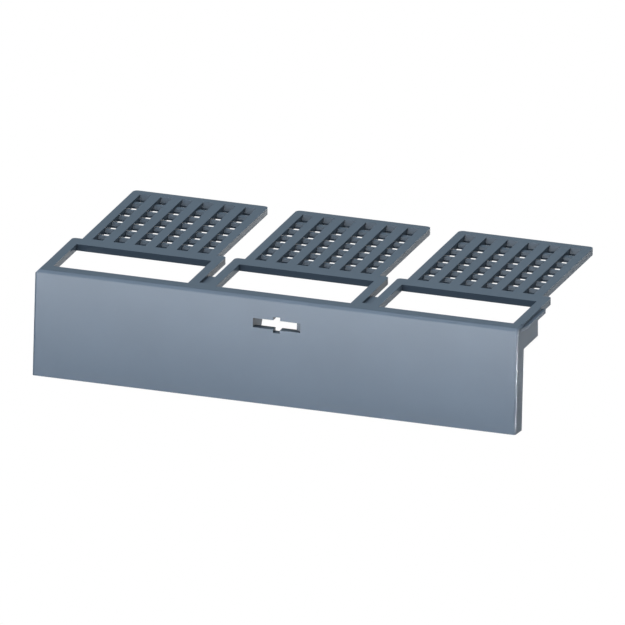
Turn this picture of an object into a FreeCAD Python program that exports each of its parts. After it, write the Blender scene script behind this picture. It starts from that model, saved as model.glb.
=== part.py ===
import FreeCAD, Part
import os
import Sketcher

# Terminal cover of a three-pole circuit breaker, moulded in one piece.
# A shelf lies flat on the breaker. Each pole has a window framed by two arms, and behind it
# a grille tongue. A leaning front wall with turned-back ends hangs down over the terminals.
# While it is built, Y = 0 is the sharp top front edge and Z = 0 is the top of the shelf.
# The body is then placed so that the origin lies on the underside of the shelf, on the
# cross bar behind the middle window, where the cover rests on the breaker.
# +X to the right, +Y to the back, +Z up. Sizes in millimetres, angles in degrees.

DRIVING_SIZES = [
    # poles
    ("pole_count", 3, "number of poles"),
    ("pole_pitch", 35.0, "from the middle of one pole to the next"),
    ("tongue_width", 29.0, "width of a grille tongue and of the window in front of it"),
    ("arm_width", 2.05, "width of an arm beside a window"),
    ("plate_thickness", 1.4, "thickness of the shelf"),
    ("window_front", 2.9, "from the front wall's face to a window"),
    ("window_length", 13.8, "window, front to back"),
    ("shoulder_bar", 3.4, "cross bar between a window and the arms' rear shoulders"),
    ("tongue_length", 30.7, "tongue behind the shoulders"),
    ("shoulder_radius", 0.8, "rear corners of the arms"),
    ("tongue_radius", 1.0, "rear corners of the tongues"),
    ("seat_inset", 2.0, "from the middle window's rear edge to the origin"),
    # grille
    ("channel_count", 6, "channels across a tongue"),
    ("channel_width", 2.35, "width of a channel"),
    ("channel_start", 0.35, "from the shoulders to the channels"),
    ("side_rail", 2.0, "rail beside the outermost channels"),
    ("end_rail", 1.93, "rail behind the channels"),
    ("rung_count", 6, "rungs along a channel"),
    ("rung_sink", 0.47, "rung's top below the top of the shelf"),
    ("rung_back", 0.2, "rung's rear edge behind the line that parts two cells"),
    ("last_rung_back", 0.76, "the same for the rearmost rung, which is wider"),
    ("ramp_reach", 0.88, "how far the ramp at the rear of a cell comes forward"),
    ("toe_height", 0.4, "upright toe under a ramp"),
    # front wall
    ("wall_drop", 22.3, "height of the front wall below the shelf's top"),
    ("wall_lean", 4.2, "lean of the wall, its foot forward"),
    ("wall_thickness", 1.6, "thickness of the wall"),
    ("flange_depth", 3.9, "turned-back ends, from the wall's face"),
    ("flange_thickness", 1.3, "thickness of the turned-back ends"),
    ("left_overhang", 0.9, "wall's left end past the outermost arm"),
    ("brow_radius", 0.85, "rounding between the shelf and the wall"),
    ("corner_radius", 0.57, "rounding of the wall's upright edges"),
    # webs that tie the poles together behind the front strip
    ("web_sink", 0.6, "web's top below the top of the shelf"),
    ("web_back", 9.6, "from the wall's face to the web's rear edge"),
    # sealing slot in the wall and the two ribs behind it
    ("slot_shift", 0.26, "middle of the slot to the left of the middle pole"),
    ("slot_drop", 5.52, "middle of the slot below the top of the shelf"),
    ("slot_length", 10.2, "length of the slot"),
    ("slot_height", 1.95, "height of the slot"),
    ("bump_width", 1.46, "width of the taller middle of the slot"),
    ("bump_height", 3.35, "height of the taller middle of the slot"),
    ("rib_thickness", 1.2, "thickness of a rib"),
    ("rib_depth", 5.5, "rib's upright rear edge, from the wall's face"),
    ("rib_bend", 6.5, "where the rib's rear edge turns to the wall, below the top of the shelf"),
    ("rib_drop", 15.0, "rib's foot below the top of the shelf"),
    ("rib_lap", 1.04, "how far the right rib reaches in front of the slot's end"),
    # tab and lug on the right end
    ("tab_back", 11.85, "from the wall's face to the tab's rear edge"),
    ("tab_drop", 5.5, "tab's foot below the top of the shelf"),
    ("lug_reach", 0.75, "lug's reach past the right end"),
    ("lug_front", 2.0, "from the wall's face to the start of the lug's ramp"),
    ("lug_ramp", 3.0, "length of the lug's ramp"),
    ("lug_back", 14.4, "from the wall's face to the lug's rear end"),
    # what a cut is made longer by, so that it runs clear of the material
    ("overrun", 2.0, "overrun of a cut"),
]

# places worked out from the sizes
POLE_EDGE = "(sizes.tongue_width / 2 + sizes.arm_width)"
LAST_POLE = "(sizes.pole_pitch * (sizes.pole_count - 1) / 2)"
FIRST_POLE = f"(-{LAST_POLE})"
RIGHT_END = f"({LAST_POLE} + {POLE_EDGE})"
LEFT_ARM = f"(-{RIGHT_END})"
LEFT_END = f"({LEFT_ARM} - sizes.left_overhang)"
WINDOW_BACK = "(sizes.window_front + sizes.window_length)"
SHOULDER = f"({WINDOW_BACK} + sizes.shoulder_bar)"
TONGUE_BACK = f"({SHOULDER} + sizes.tongue_length)"
CHANNEL_FRONT = f"({SHOULDER} + sizes.channel_start)"
CHANNEL_BACK = f"({TONGUE_BACK} - sizes.end_rail)"
CHANNELS_WIDTH = "(sizes.tongue_width - 2 * sizes.side_rail)"
CHANNEL_PITCH = f"(({CHANNELS_WIDTH} - sizes.channel_width) / (sizes.channel_count - 1))"
RUNG_PITCH = f"(({CHANNEL_BACK} - {CHANNEL_FRONT}) / (sizes.rung_count + 1))"
LEAN = "(sizes.wall_lean * 1deg)"
STRIP_BACK = f"(sizes.flange_depth / cos({LEAN}))"
WALL_INSIDE = f"(sizes.wall_thickness / cos({LEAN}))"
SLOT_LEFT = "(-sizes.slot_shift - sizes.slot_length / 2)"
SLOT_RIGHT = "(-sizes.slot_shift + sizes.slot_length / 2)"
SEAT_BACK = f"({WINDOW_BACK} + sizes.seat_inset)"
TOLERANCE = 0.01

doc = FreeCAD.newDocument("terminal_cover")


def make_sheet():
    sheet = doc.addObject("Spreadsheet::Sheet", "sizes")
    for row, (name, value, meaning) in enumerate(DRIVING_SIZES, 1):
        sheet.set(f"A{row}", meaning)
        sheet.set(f"B{row}", str(value))
        sheet.setAlias(f"B{row}", name)
    doc.recompute()
    return sheet


sheet = make_sheet()
body = doc.addObject("PartDesign::Body", "terminal_cover")
body.Label = "terminal_cover"


def number(expression):
    return float(sheet.evalExpression(expression))


def origin_part(role):
    return next(part for part in body.Origin.OriginFeatures if part.Role == role)


# Outlines and features

def outline(name, plane, corners, lift="0"):
    """A closed sketch with straight sides, each corner's place bound to the sheet."""
    sketch = body.newObject("Sketcher::SketchObject", name)
    sketch.AttachmentSupport = [(origin_part(plane), "")]
    sketch.MapMode = "FlatFace"
    sketch.setExpression(".AttachmentOffset.Base.z", lift)
    points = [FreeCAD.Vector(number(across), number(up), 0) for across, up in corners]
    for index, point in enumerate(points):
        sketch.addGeometry(Part.LineSegment(point, points[(index + 1) % len(points)]), False)
    for index in range(len(points)):
        sketch.addConstraint(Sketcher.Constraint("Coincident", index, 2, (index + 1) % len(points), 1))
    for index, (across, up) in enumerate(corners):
        point = points[index]
        for kind, place, value in (("DistanceX", across, point.x), ("DistanceY", up, point.y)):
            made = sketch.addConstraint(Sketcher.Constraint(kind, -1, 1, index, 1, value))
            sketch.setExpression(f"Constraints[{made}]", place)
    return sketch


def rectangle(name, plane, left, right, low, high, lift="0"):
    return outline(name, plane, [(left, low), (right, low), (right, high), (left, high)], lift)


def check_step(feature):
    if not body.Shape.isValid() or body.Shape.Volume < TOLERANCE:
        raise RuntimeError(f"{feature.Name} leaves no valid solid")


def pad(sketch, length):
    feature = body.newObject("PartDesign::Pad", f"{sketch.Name}_pad")
    feature.Profile = sketch
    feature.setExpression("Length", length)
    body.Tip = feature
    doc.recompute()
    check_step(feature)
    return feature


def pocket(sketch, length):
    before = body.Shape.Volume
    feature = body.newObject("PartDesign::Pocket", f"{sketch.Name}_cut")
    feature.Profile = sketch
    feature.setExpression("Length", length)
    body.Tip = feature
    doc.recompute()
    check_step(feature)
    if body.Shape.Volume > before - TOLERANCE:
        raise RuntimeError(f"{feature.Name} cut nothing")
    return feature


def along(name, axis, pitch, count):
    pattern = body.newObject("PartDesign::LinearPattern", name)
    pattern.Direction = (origin_part(axis), [""])
    pattern.setExpression("Length", f"{pitch} * ({count} - 1)")
    pattern.setExpression("Occurrences", count)
    return pattern


def repeat_over_poles(name, features):
    pattern = along(name, "X_Axis", "sizes.pole_pitch", "sizes.pole_count")
    pattern.Originals = features
    body.Tip = pattern
    doc.recompute()


def repeat_as_grid(name, feature, step):
    """The step's pattern on every pole."""
    poles = along(f"{name}_over_poles", "X_Axis", "sizes.pole_pitch", "sizes.pole_count")
    grid = body.newObject("PartDesign::MultiTransform", name)
    grid.Originals = [feature]
    grid.Transformations = [step, poles]
    body.Tip = grid
    doc.recompute()


def edges_where(wanted, upright=False):
    """Names of the body's edges whose two ends both satisfy the test."""
    names = []
    for index, edge in enumerate(body.Shape.Edges, 1):
        ends = [vertex.Point for vertex in edge.Vertexes]
        if len(ends) != 2 or not all(wanted(end) for end in ends):
            continue
        if upright and (not near(ends[0].x, ends[1].x) or near(ends[0].z, ends[1].z)):
            continue
        names.append(f"Edge{index}")
    if not names:
        raise RuntimeError("no edge found to round")
    return names


def near(value, place):
    return abs(value - place) < TOLERANCE


def soften(kind, name, edges, setting, size):
    base = body.Tip
    feature = body.newObject(f"PartDesign::{kind}", name)
    feature.Base = (base, edges)
    feature.setExpression(setting, size)
    body.Tip = feature
    doc.recompute()
    check_step(feature)


# Front wall, its top strip and its turned-back ends

def make_tray_block():
    foot = (f"-sizes.wall_drop * tan({LEAN})", "-sizes.wall_drop")
    heel = (f"{foot[0]} + sizes.flange_depth * cos({LEAN})", f"{foot[1]} - sizes.flange_depth * sin({LEAN})")
    section = outline("tray", "YZ_Plane", [("0", "0"), foot, heel, (STRIP_BACK, "0")], LEFT_END)
    pad(section, f"{RIGHT_END} - {LEFT_END}")


def round_tray_block():
    left = number(LEFT_END)
    right = number(RIGHT_END)
    slope = number(f"tan({LEAN})")
    brow = edges_where(lambda p: near(p.y, 0) and near(p.z, 0))
    soften("Fillet", "brow", brow, "Radius", "sizes.brow_radius")

    def on_upright(point):
        at_end = near(point.x, left) or near(point.x, right)
        return at_end and near(point.y, point.z * slope) and not near(point.z, 0)

    soften("Fillet", "uprights", edges_where(on_upright, True), "Radius", "sizes.corner_radius")


def bevel_left_end():
    beyond = f"{LEFT_END} - sizes.overrun"
    bevel = outline("left_bevel", "XZ_Plane",
                    [(beyond, "sizes.overrun"), (beyond, "-sizes.left_overhang - sizes.overrun"),
                     (f"{LEFT_ARM} + sizes.overrun", "sizes.overrun")], "sizes.overrun")
    pocket(bevel, f"{STRIP_BACK} + 2 * sizes.overrun")


def hollow_tray():
    low = f"(-sizes.wall_drop - sizes.flange_depth * sin({LEAN}) - sizes.overrun)"
    top = "-sizes.plate_thickness"
    back = f"{STRIP_BACK} + sizes.overrun"
    inside_low = f"{WALL_INSIDE} + {low} * tan({LEAN})"
    inside_top = f"{WALL_INSIDE} - sizes.plate_thickness * tan({LEAN})"
    hollow = outline("hollow", "YZ_Plane", [(inside_top, top), (inside_low, low), (back, low), (back, top)],
                     f"{RIGHT_END} - sizes.flange_thickness")
    pocket(hollow, f"{RIGHT_END} - {LEFT_END} - 2 * sizes.flange_thickness")


# Shelf

def make_poles():
    left = f"{FIRST_POLE} - {POLE_EDGE}"
    right = f"{FIRST_POLE} + {POLE_EDGE}"
    tongue_left = f"{FIRST_POLE} - sizes.tongue_width / 2"
    tongue_right = f"{FIRST_POLE} + sizes.tongue_width / 2"
    plate = outline("pole_plate", "XY_Plane",
                    [(left, "sizes.window_front"), (right, "sizes.window_front"), (right, SHOULDER),
                     (tongue_right, SHOULDER), (tongue_right, TONGUE_BACK), (tongue_left, TONGUE_BACK),
                     (tongue_left, SHOULDER), (left, SHOULDER)], "-sizes.plate_thickness")
    repeat_over_poles("pole_plates", [pad(plate, "sizes.plate_thickness")])

    shoulder = number(SHOULDER)
    back = number(TONGUE_BACK)
    half_tongue = number("sizes.tongue_width / 2")
    pole_edge = number(POLE_EDGE)
    pitch = number("sizes.pole_pitch")
    middles = [number(FIRST_POLE) + pitch * index for index in range(int(number("sizes.pole_count")))]

    def at_corner(point, row, reach):
        return near(point.y, row) and any(near(abs(point.x - middle), reach) for middle in middles)

    soften("Fillet", "tongue_corners", edges_where(lambda p: at_corner(p, back, half_tongue), True),
           "Radius", "sizes.tongue_radius")
    soften("Fillet", "shoulder_corners", edges_where(lambda p: at_corner(p, shoulder, pole_edge), True),
           "Radius", "sizes.shoulder_radius")


def make_windows():
    window = rectangle("window", "XY_Plane", f"{FIRST_POLE} - sizes.tongue_width / 2",
                       f"{FIRST_POLE} + sizes.tongue_width / 2", "sizes.window_front", WINDOW_BACK)
    repeat_over_poles("windows", [pocket(window, "sizes.plate_thickness")])


def make_webs():
    web = rectangle("web", "XY_Plane", f"{FIRST_POLE} + {POLE_EDGE}",
                    f"{FIRST_POLE} + sizes.pole_pitch - {POLE_EDGE}", "sizes.window_front", "sizes.web_back",
                    "-sizes.plate_thickness")
    first = pad(web, "sizes.plate_thickness - sizes.web_sink")
    pattern = along("webs", "X_Axis", "sizes.pole_pitch", "(sizes.pole_count - 1)")
    pattern.Originals = [first]
    body.Tip = pattern
    doc.recompute()


# Sealing slot and its ribs

def make_sealing_slot():
    in_front = f"sizes.slot_drop * tan({LEAN}) + sizes.overrun"
    depth = "sizes.wall_thickness + 2 * sizes.overrun"
    for name, width, height in (("slot", "sizes.slot_length", "sizes.slot_height"),
                                ("bump", "sizes.bump_width", "sizes.bump_height")):
        left = f"-sizes.slot_shift - {width} / 2"
        low = f"-sizes.slot_drop - {height} / 2"
        cut = rectangle(name, "XZ_Plane", left, f"{left} + {width}", low, f"{low} + {height}", in_front)
        pocket(cut, depth)


def make_ribs():
    into_wall = f"{WALL_INSIDE} / 2"
    top = "-sizes.plate_thickness"
    corners = [(into_wall, top), (f"{into_wall} - sizes.rib_drop * tan({LEAN})", "-sizes.rib_drop"),
               (f"{WALL_INSIDE} - sizes.rib_drop * tan({LEAN})", "-sizes.rib_drop"),
               ("sizes.rib_depth", "-sizes.rib_bend"), ("sizes.rib_depth", top)]
    for name, left in (("left_rib", f"{SLOT_LEFT} - sizes.rib_thickness"),
                       ("right_rib", f"{SLOT_RIGHT} - sizes.rib_lap")):
        pad(outline(name, "YZ_Plane", corners, left), "sizes.rib_thickness")


# Ends of the shelf

def make_tab():
    tab = rectangle("tab", "YZ_Plane", "sizes.window_front", "sizes.tab_back", "-sizes.tab_drop",
                    "-sizes.plate_thickness / 2", f"{RIGHT_END} - sizes.flange_thickness")
    pad(tab, "sizes.flange_thickness")


def make_lug():
    inside = f"{RIGHT_END} - sizes.arm_width / 2"
    outside = f"{RIGHT_END} + sizes.lug_reach"
    lug = outline("lug", "XY_Plane",
                  [(inside, "sizes.lug_front"), (RIGHT_END, "sizes.lug_front"),
                   (outside, "sizes.lug_front + sizes.lug_ramp"), (outside, "sizes.lug_back"),
                   (inside, "sizes.lug_back")], "-sizes.plate_thickness")
    pad(lug, "sizes.plate_thickness - sizes.web_sink")


# Grille

def make_grille():
    left = f"({FIRST_POLE} - {CHANNELS_WIDTH} / 2)"
    channel = rectangle("channel", "XY_Plane", left, f"{left} + sizes.channel_width", CHANNEL_FRONT,
                        CHANNEL_BACK)
    step = along("channels_across", "X_Axis", CHANNEL_PITCH, "sizes.channel_count")
    repeat_as_grid("channels", pocket(channel, "sizes.plate_thickness"), step)

    beside = f"{left} - sizes.side_rail / 2"
    reach = f"({CHANNELS_WIDTH} + sizes.side_rail)"
    low = "-sizes.plate_thickness"
    toe_top = f"({low} + sizes.toe_height)"
    top = "-sizes.rung_sink"
    line = f"({CHANNEL_FRONT} + {RUNG_PITCH})"
    toe = f"{line} - sizes.ramp_reach"
    crest = f"{line} - sizes.ramp_reach * sizes.rung_sink / (sizes.plate_thickness - sizes.toe_height)"
    back = f"{line} + sizes.rung_back"
    rung = outline("rung", "YZ_Plane", [(toe, low), (back, low), (back, top), (crest, top), (toe, toe_top)],
                   beside)
    step = along("rungs_along", "Y_Axis", RUNG_PITCH, "sizes.rung_count")
    repeat_as_grid("rungs", pad(rung, reach), step)

    line = f"({CHANNEL_BACK} - {RUNG_PITCH})"
    last_rung = rectangle("last_rung", "YZ_Plane", line, f"{line} + sizes.last_rung_back", low, top, beside)
    toe = f"{CHANNEL_BACK} - sizes.ramp_reach"
    back = f"{CHANNEL_BACK} + sizes.end_rail / 2"
    end_ramp = outline("end_ramp", "YZ_Plane",
                       [(toe, low), (back, low), (back, "0"), (CHANNEL_BACK, "0"), (toe, toe_top)], beside)
    repeat_over_poles("last_cells", [pad(last_rung, reach), pad(end_ramp, reach)])


# Place and checks

def place_body():
    body.setExpression(".Placement.Base.y", f"-{SEAT_BACK}")
    body.setExpression(".Placement.Base.z", "sizes.plate_thickness")
    doc.recompute()


def check_document():
    for item in doc.Objects:
        if "Invalid" in item.State or "Error" in item.State:
            raise RuntimeError(f"{item.Name} failed: {item.State}")
    shape = body.Shape
    if shape.isNull() or not shape.isValid() or len(shape.Solids) != 1:
        raise RuntimeError("the cover is not one valid solid")
    print("volume", round(shape.Volume, 2), "box", shape.BoundBox)


make_tray_block()
round_tray_block()
bevel_left_end()
hollow_tray()
make_poles()
make_windows()
make_webs()
make_sealing_slot()
make_ribs()
make_tab()
make_lug()
make_grille()
place_body()
check_document()

os.makedirs("parts", exist_ok=True)
body.Shape.exportStep(f"parts/{body.Label}.step")
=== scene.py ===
import math

import bpy
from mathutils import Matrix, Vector


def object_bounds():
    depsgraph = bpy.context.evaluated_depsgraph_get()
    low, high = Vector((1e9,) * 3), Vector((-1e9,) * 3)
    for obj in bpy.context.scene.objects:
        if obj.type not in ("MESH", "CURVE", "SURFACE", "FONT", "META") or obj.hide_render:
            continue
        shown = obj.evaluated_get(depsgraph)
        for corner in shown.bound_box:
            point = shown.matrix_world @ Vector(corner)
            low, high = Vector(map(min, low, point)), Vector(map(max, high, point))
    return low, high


# Terminal cover of a three-pole circuit breaker, over a white floor in soft studio light.
# Lengths in metres, angles in degrees, light powers in watts, colours as linear red, green and blue.
# Azimuth 0 is the front of the cover (-Y) and azimuth 90 its right end (+X).

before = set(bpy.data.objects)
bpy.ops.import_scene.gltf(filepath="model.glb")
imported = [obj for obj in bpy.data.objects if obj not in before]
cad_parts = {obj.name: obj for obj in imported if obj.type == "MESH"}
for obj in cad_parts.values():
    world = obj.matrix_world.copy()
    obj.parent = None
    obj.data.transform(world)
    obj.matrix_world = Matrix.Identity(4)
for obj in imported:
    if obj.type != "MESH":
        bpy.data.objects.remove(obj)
cad_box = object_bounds()

BLACK = (0.0, 0.0, 0.0)
WHITE = (1.0, 1.0, 1.0)
WARM_WHITE = (1.12, 1.02, 0.9)

# The view that the cover is shown in: a parallel one, from the front and the right, a little from above
VIEW_AZIMUTH = 20.0
VIEW_ELEVATION = 20.0
VIEW_WIDTH = 0.1264
VIEW_CENTRE = Vector((0.00134, -0.00220, -0.00693))
CAMERA_DISTANCE = 0.6
NEAREST_SEEN = 0.01
FARTHEST_SEEN = 10.0

# The plastic's colour wavers in soft clouds, by the share CLOUD_WAVER of itself. It is darkest where the
# noise is below DARKEST_CLOUD and lightest where it is above LIGHTEST_CLOUD. Noise scales are per metre.
PLASTIC_COLOUR = (0.092, 0.125, 0.172)
PLASTIC_IOR = 1.46
CLOUD_SCALE = 60.0
CLOUD_DETAIL = 3.0
CLOUD_WAVER = 0.04
DARKEST_CLOUD = 0.3
LIGHTEST_CLOUD = 0.7

# The grain roughens the surface and varies how glossy it is
GRAIN_SCALE = 5000.0
GRAIN_DETAIL = 2.0
GRAIN_STRENGTH = 0.15
GRAIN_HEIGHT = 0.00002
SMOOTHEST = 0.34
ROUGHEST = 0.40

# Painted shade: where walls stand close together, the colour is darkened, as shade painted into it, down
# to the tone share set below. It is darkest where a place is no more open than the closed share, and stays
# whole from the open share on.
SHADE_PAINT_REACH = 0.003
SHADE_PAINT_RAYS = 8
SHADE_PAINT_CLOSED = 0.35
SHADE_PAINT_OPEN = 0.85
SHADE_PAINT_TONE = 0.3

# The floor lies well below the cover, so that the underside can be looked at
FLOOR_SIZE = 8.0
FLOOR_GAP = 0.3
FLOOR_GLOW = 1.0

# The sky changes into the dark ground from HORIZON_BLUR above the horizon to as much below it,
# where straight up is 1 and straight down is -1
SKY_COLOUR = (0.85, 1.02, 1.08)
SKY_STRENGTH = 0.4
GROUND_STRENGTH = 0.05
HORIZON_BLUR = 0.15

# The strip of light stands in front of the brow and a little below it, and shines just over it
STRIP_DISTANCE = 0.1
STRIP_DROP = 0.012
STRIP_LIFT = 0.005


def opaque(colour, share=1.0):
    """A share of a colour, as a socket takes it."""
    return (*[channel * share for channel in colour], 1.0)


def place_around(point, azimuth, elevation, distance):
    """The place at a distance from a point, in the direction that the two angles give."""
    turn = math.radians(azimuth)
    rise = math.radians(elevation)
    direction = Vector((math.sin(turn) * math.cos(rise), -math.cos(turn) * math.cos(rise), math.sin(rise)))
    return point + direction * distance


def stand(thing, place, aim):
    """Brings a camera or a light into the scene at a place, turned towards its aim."""
    thing.location = place
    thing.rotation_mode = "QUATERNION"
    thing.rotation_quaternion = (place - aim).to_track_quat("Z", "Y")
    bpy.context.collection.objects.link(thing)


def new_material(name):
    material = bpy.data.materials.new(name)
    material.use_nodes = True
    return material, material.node_tree.nodes["Principled BSDF"]


def moulded_plastic():
    """Satin slate-blue plastic with a fine spark-eroded grain, and with shade painted into its colour
    where walls stand close together.
    """
    material, shader = new_material("cover_plastic")
    nodes = material.node_tree.nodes
    links = material.node_tree.links
    shader.inputs["Metallic"].default_value = 0.0
    shader.inputs["IOR"].default_value = PLASTIC_IOR

    place = nodes.new("ShaderNodeTexCoord")

    cloud = nodes.new("ShaderNodeTexNoise")
    cloud.inputs["Scale"].default_value = CLOUD_SCALE
    cloud.inputs["Detail"].default_value = CLOUD_DETAIL
    links.new(place.outputs["Object"], cloud.inputs["Vector"])
    tint = nodes.new("ShaderNodeValToRGB")
    darkest, lightest = tint.color_ramp.elements
    darkest.position = DARKEST_CLOUD
    darkest.color = opaque(PLASTIC_COLOUR, 1.0 - CLOUD_WAVER)
    lightest.position = LIGHTEST_CLOUD
    lightest.color = opaque(PLASTIC_COLOUR, 1.0 + CLOUD_WAVER)
    links.new(cloud.outputs["Fac"], tint.inputs["Fac"])

    # Painted shade: the colour darkens where nearby walls hem a place in, standing in for the shade that
    # falls there
    shade_occlusion = nodes.new("ShaderNodeAmbientOcclusion")
    shade_occlusion.only_local = True
    shade_occlusion.samples = SHADE_PAINT_RAYS
    shade_occlusion.inputs["Distance"].default_value = SHADE_PAINT_REACH
    painted_shade_share = nodes.new("ShaderNodeMapRange")
    painted_shade_share.inputs["From Min"].default_value = SHADE_PAINT_CLOSED
    painted_shade_share.inputs["From Max"].default_value = SHADE_PAINT_OPEN
    painted_shade_share.inputs["To Min"].default_value = SHADE_PAINT_TONE
    links.new(shade_occlusion.outputs["AO"], painted_shade_share.inputs["Value"])
    painted_shade = nodes.new("ShaderNodeMix")
    painted_shade.data_type = "RGBA"
    painted_shade.inputs["A"].default_value = opaque(BLACK)
    links.new(painted_shade_share.outputs["Result"], painted_shade.inputs["Factor"])
    links.new(tint.outputs["Color"], painted_shade.inputs["B"])
    links.new(painted_shade.outputs["Result"], shader.inputs["Base Color"])

    grain = nodes.new("ShaderNodeTexNoise")
    grain.inputs["Scale"].default_value = GRAIN_SCALE
    grain.inputs["Detail"].default_value = GRAIN_DETAIL
    links.new(place.outputs["Object"], grain.inputs["Vector"])
    gloss = nodes.new("ShaderNodeMapRange")
    gloss.inputs["To Min"].default_value = SMOOTHEST
    gloss.inputs["To Max"].default_value = ROUGHEST
    links.new(grain.outputs["Fac"], gloss.inputs["Value"])
    links.new(gloss.outputs["Result"], shader.inputs["Roughness"])
    bump = nodes.new("ShaderNodeBump")
    bump.inputs["Strength"].default_value = GRAIN_STRENGTH
    bump.inputs["Distance"].default_value = GRAIN_HEIGHT
    links.new(grain.outputs["Fac"], bump.inputs["Height"])
    links.new(bump.outputs["Normal"], shader.inputs["Normal"])
    return material


def dress(node, material):
    """Gives a CAD node its material. Its mesh stays as it is."""
    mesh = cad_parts[node].data
    for index in range(len(mesh.materials)):
        mesh.materials[index] = material


def lay_floor():
    """A white floor as in a cut-out picture: it looks evenly white, lights nothing and takes no shadow."""
    material, shader = new_material("pale_floor")
    shader.inputs["Base Color"].default_value = opaque(BLACK)
    shader.inputs["Specular IOR Level"].default_value = 0.0
    shader.inputs["Emission Color"].default_value = opaque(WHITE)
    shader.inputs["Emission Strength"].default_value = FLOOR_GLOW
    lowest = cad_box[0].z
    bpy.ops.mesh.primitive_plane_add(size=FLOOR_SIZE, location=(0.0, 0.0, lowest - FLOOR_GAP))
    floor = bpy.context.object
    floor.name = "floor"
    floor.data.materials.append(material)
    floor.visible_diffuse = False
    floor.visible_glossy = False
    floor.visible_shadow = False


def add_sky():
    """An even, faintly blue glow from above, which fades to near darkness below the horizon."""
    world = bpy.data.worlds.new("studio")
    world.use_nodes = True
    nodes = world.node_tree.nodes
    links = world.node_tree.links
    towards = nodes.new("ShaderNodeTexCoord")
    split = nodes.new("ShaderNodeSeparateXYZ")
    links.new(towards.outputs["Generated"], split.inputs["Vector"])
    horizon = nodes.new("ShaderNodeMapRange")
    horizon.inputs["From Min"].default_value = -HORIZON_BLUR
    horizon.inputs["From Max"].default_value = HORIZON_BLUR
    horizon.inputs["To Min"].default_value = GROUND_STRENGTH
    horizon.inputs["To Max"].default_value = SKY_STRENGTH
    links.new(split.outputs["Z"], horizon.inputs["Value"])
    backdrop = nodes["Background"]
    backdrop.inputs["Color"].default_value = opaque(SKY_COLOUR)
    links.new(horizon.outputs["Result"], backdrop.inputs["Strength"])
    bpy.context.scene.world = world


def add_softbox(name, place, aim, width, height, power, spread=180.0, tone=WHITE, shine_only=False):
    """A rectangular light at one place that shines at another. A shine_only one makes highlights alone."""
    lamp = bpy.data.lights.new(name, "AREA")
    lamp.shape = "RECTANGLE"
    lamp.size = width
    lamp.size_y = height
    lamp.spread = math.radians(spread)
    lamp.energy = power
    lamp.color = tone
    softbox = bpy.data.objects.new(name, lamp)
    softbox.visible_camera = False
    softbox.visible_diffuse = not shine_only
    stand(softbox, place, aim)


def light_cover():
    low, high = cad_box
    middle = (low + high) / 2
    brow = Vector((middle.x, low.y, high.z))
    right_corner = Vector((high.x, low.y, high.z))

    # For the tops and the ramps in the grilles
    add_softbox("overhead", place_around(middle, azimuth=0.0, elevation=70.0, distance=0.9), middle,
                width=0.4, height=0.3, power=3.7)

    # For the front wall, which is brightest under the brow and fades downwards
    strip_place = brow + Vector((0.0, -STRIP_DISTANCE, -STRIP_DROP))
    strip_aim = brow + Vector((0.0, 0.0, STRIP_LIFT))
    add_softbox("front_strip", strip_place, strip_aim, width=0.4, height=0.02, power=0.125, spread=92.0)

    # For what faces right: the wall's turned-back end, the tab and the tongues' sides
    add_softbox("right_fill", place_around(middle, azimuth=97.0, elevation=-14.0, distance=0.6), middle,
                width=0.4, height=0.4, power=0.75, tone=WARM_WHITE)

    # For the wall's back and the tongues' rear ends
    add_softbox("back_fill", place_around(middle, azimuth=180.0, elevation=-8.0, distance=0.9), middle,
                width=0.6, height=0.4, power=3.0)

    # For a soft shine on what faces right
    add_softbox("right_gleam", place_around(middle, azimuth=94.0, elevation=-24.0, distance=0.5), middle,
                width=0.2, height=0.2, power=0.5, shine_only=True)

    # For the bright line down the wall's right upright edge
    add_softbox("right_glint", place_around(right_corner, azimuth=100.0, elevation=-14.0, distance=0.3),
                right_corner, width=0.02, height=0.04, power=0.010, spread=12.0, shine_only=True)


def add_camera():
    lens = bpy.data.cameras.new("camera")
    lens.type = "ORTHO"
    lens.ortho_scale = VIEW_WIDTH
    lens.clip_start = NEAREST_SEEN
    lens.clip_end = FARTHEST_SEEN
    camera = bpy.data.objects.new("camera", lens)
    stand(camera, place_around(VIEW_CENTRE, VIEW_AZIMUTH, VIEW_ELEVATION, CAMERA_DISTANCE), VIEW_CENTRE)
    bpy.context.scene.camera = camera
    bpy.context.scene.view_settings.view_transform = "Standard"


dress("terminal_cover", moulded_plastic())
lay_floor()
add_sky()
light_cover()
add_camera()
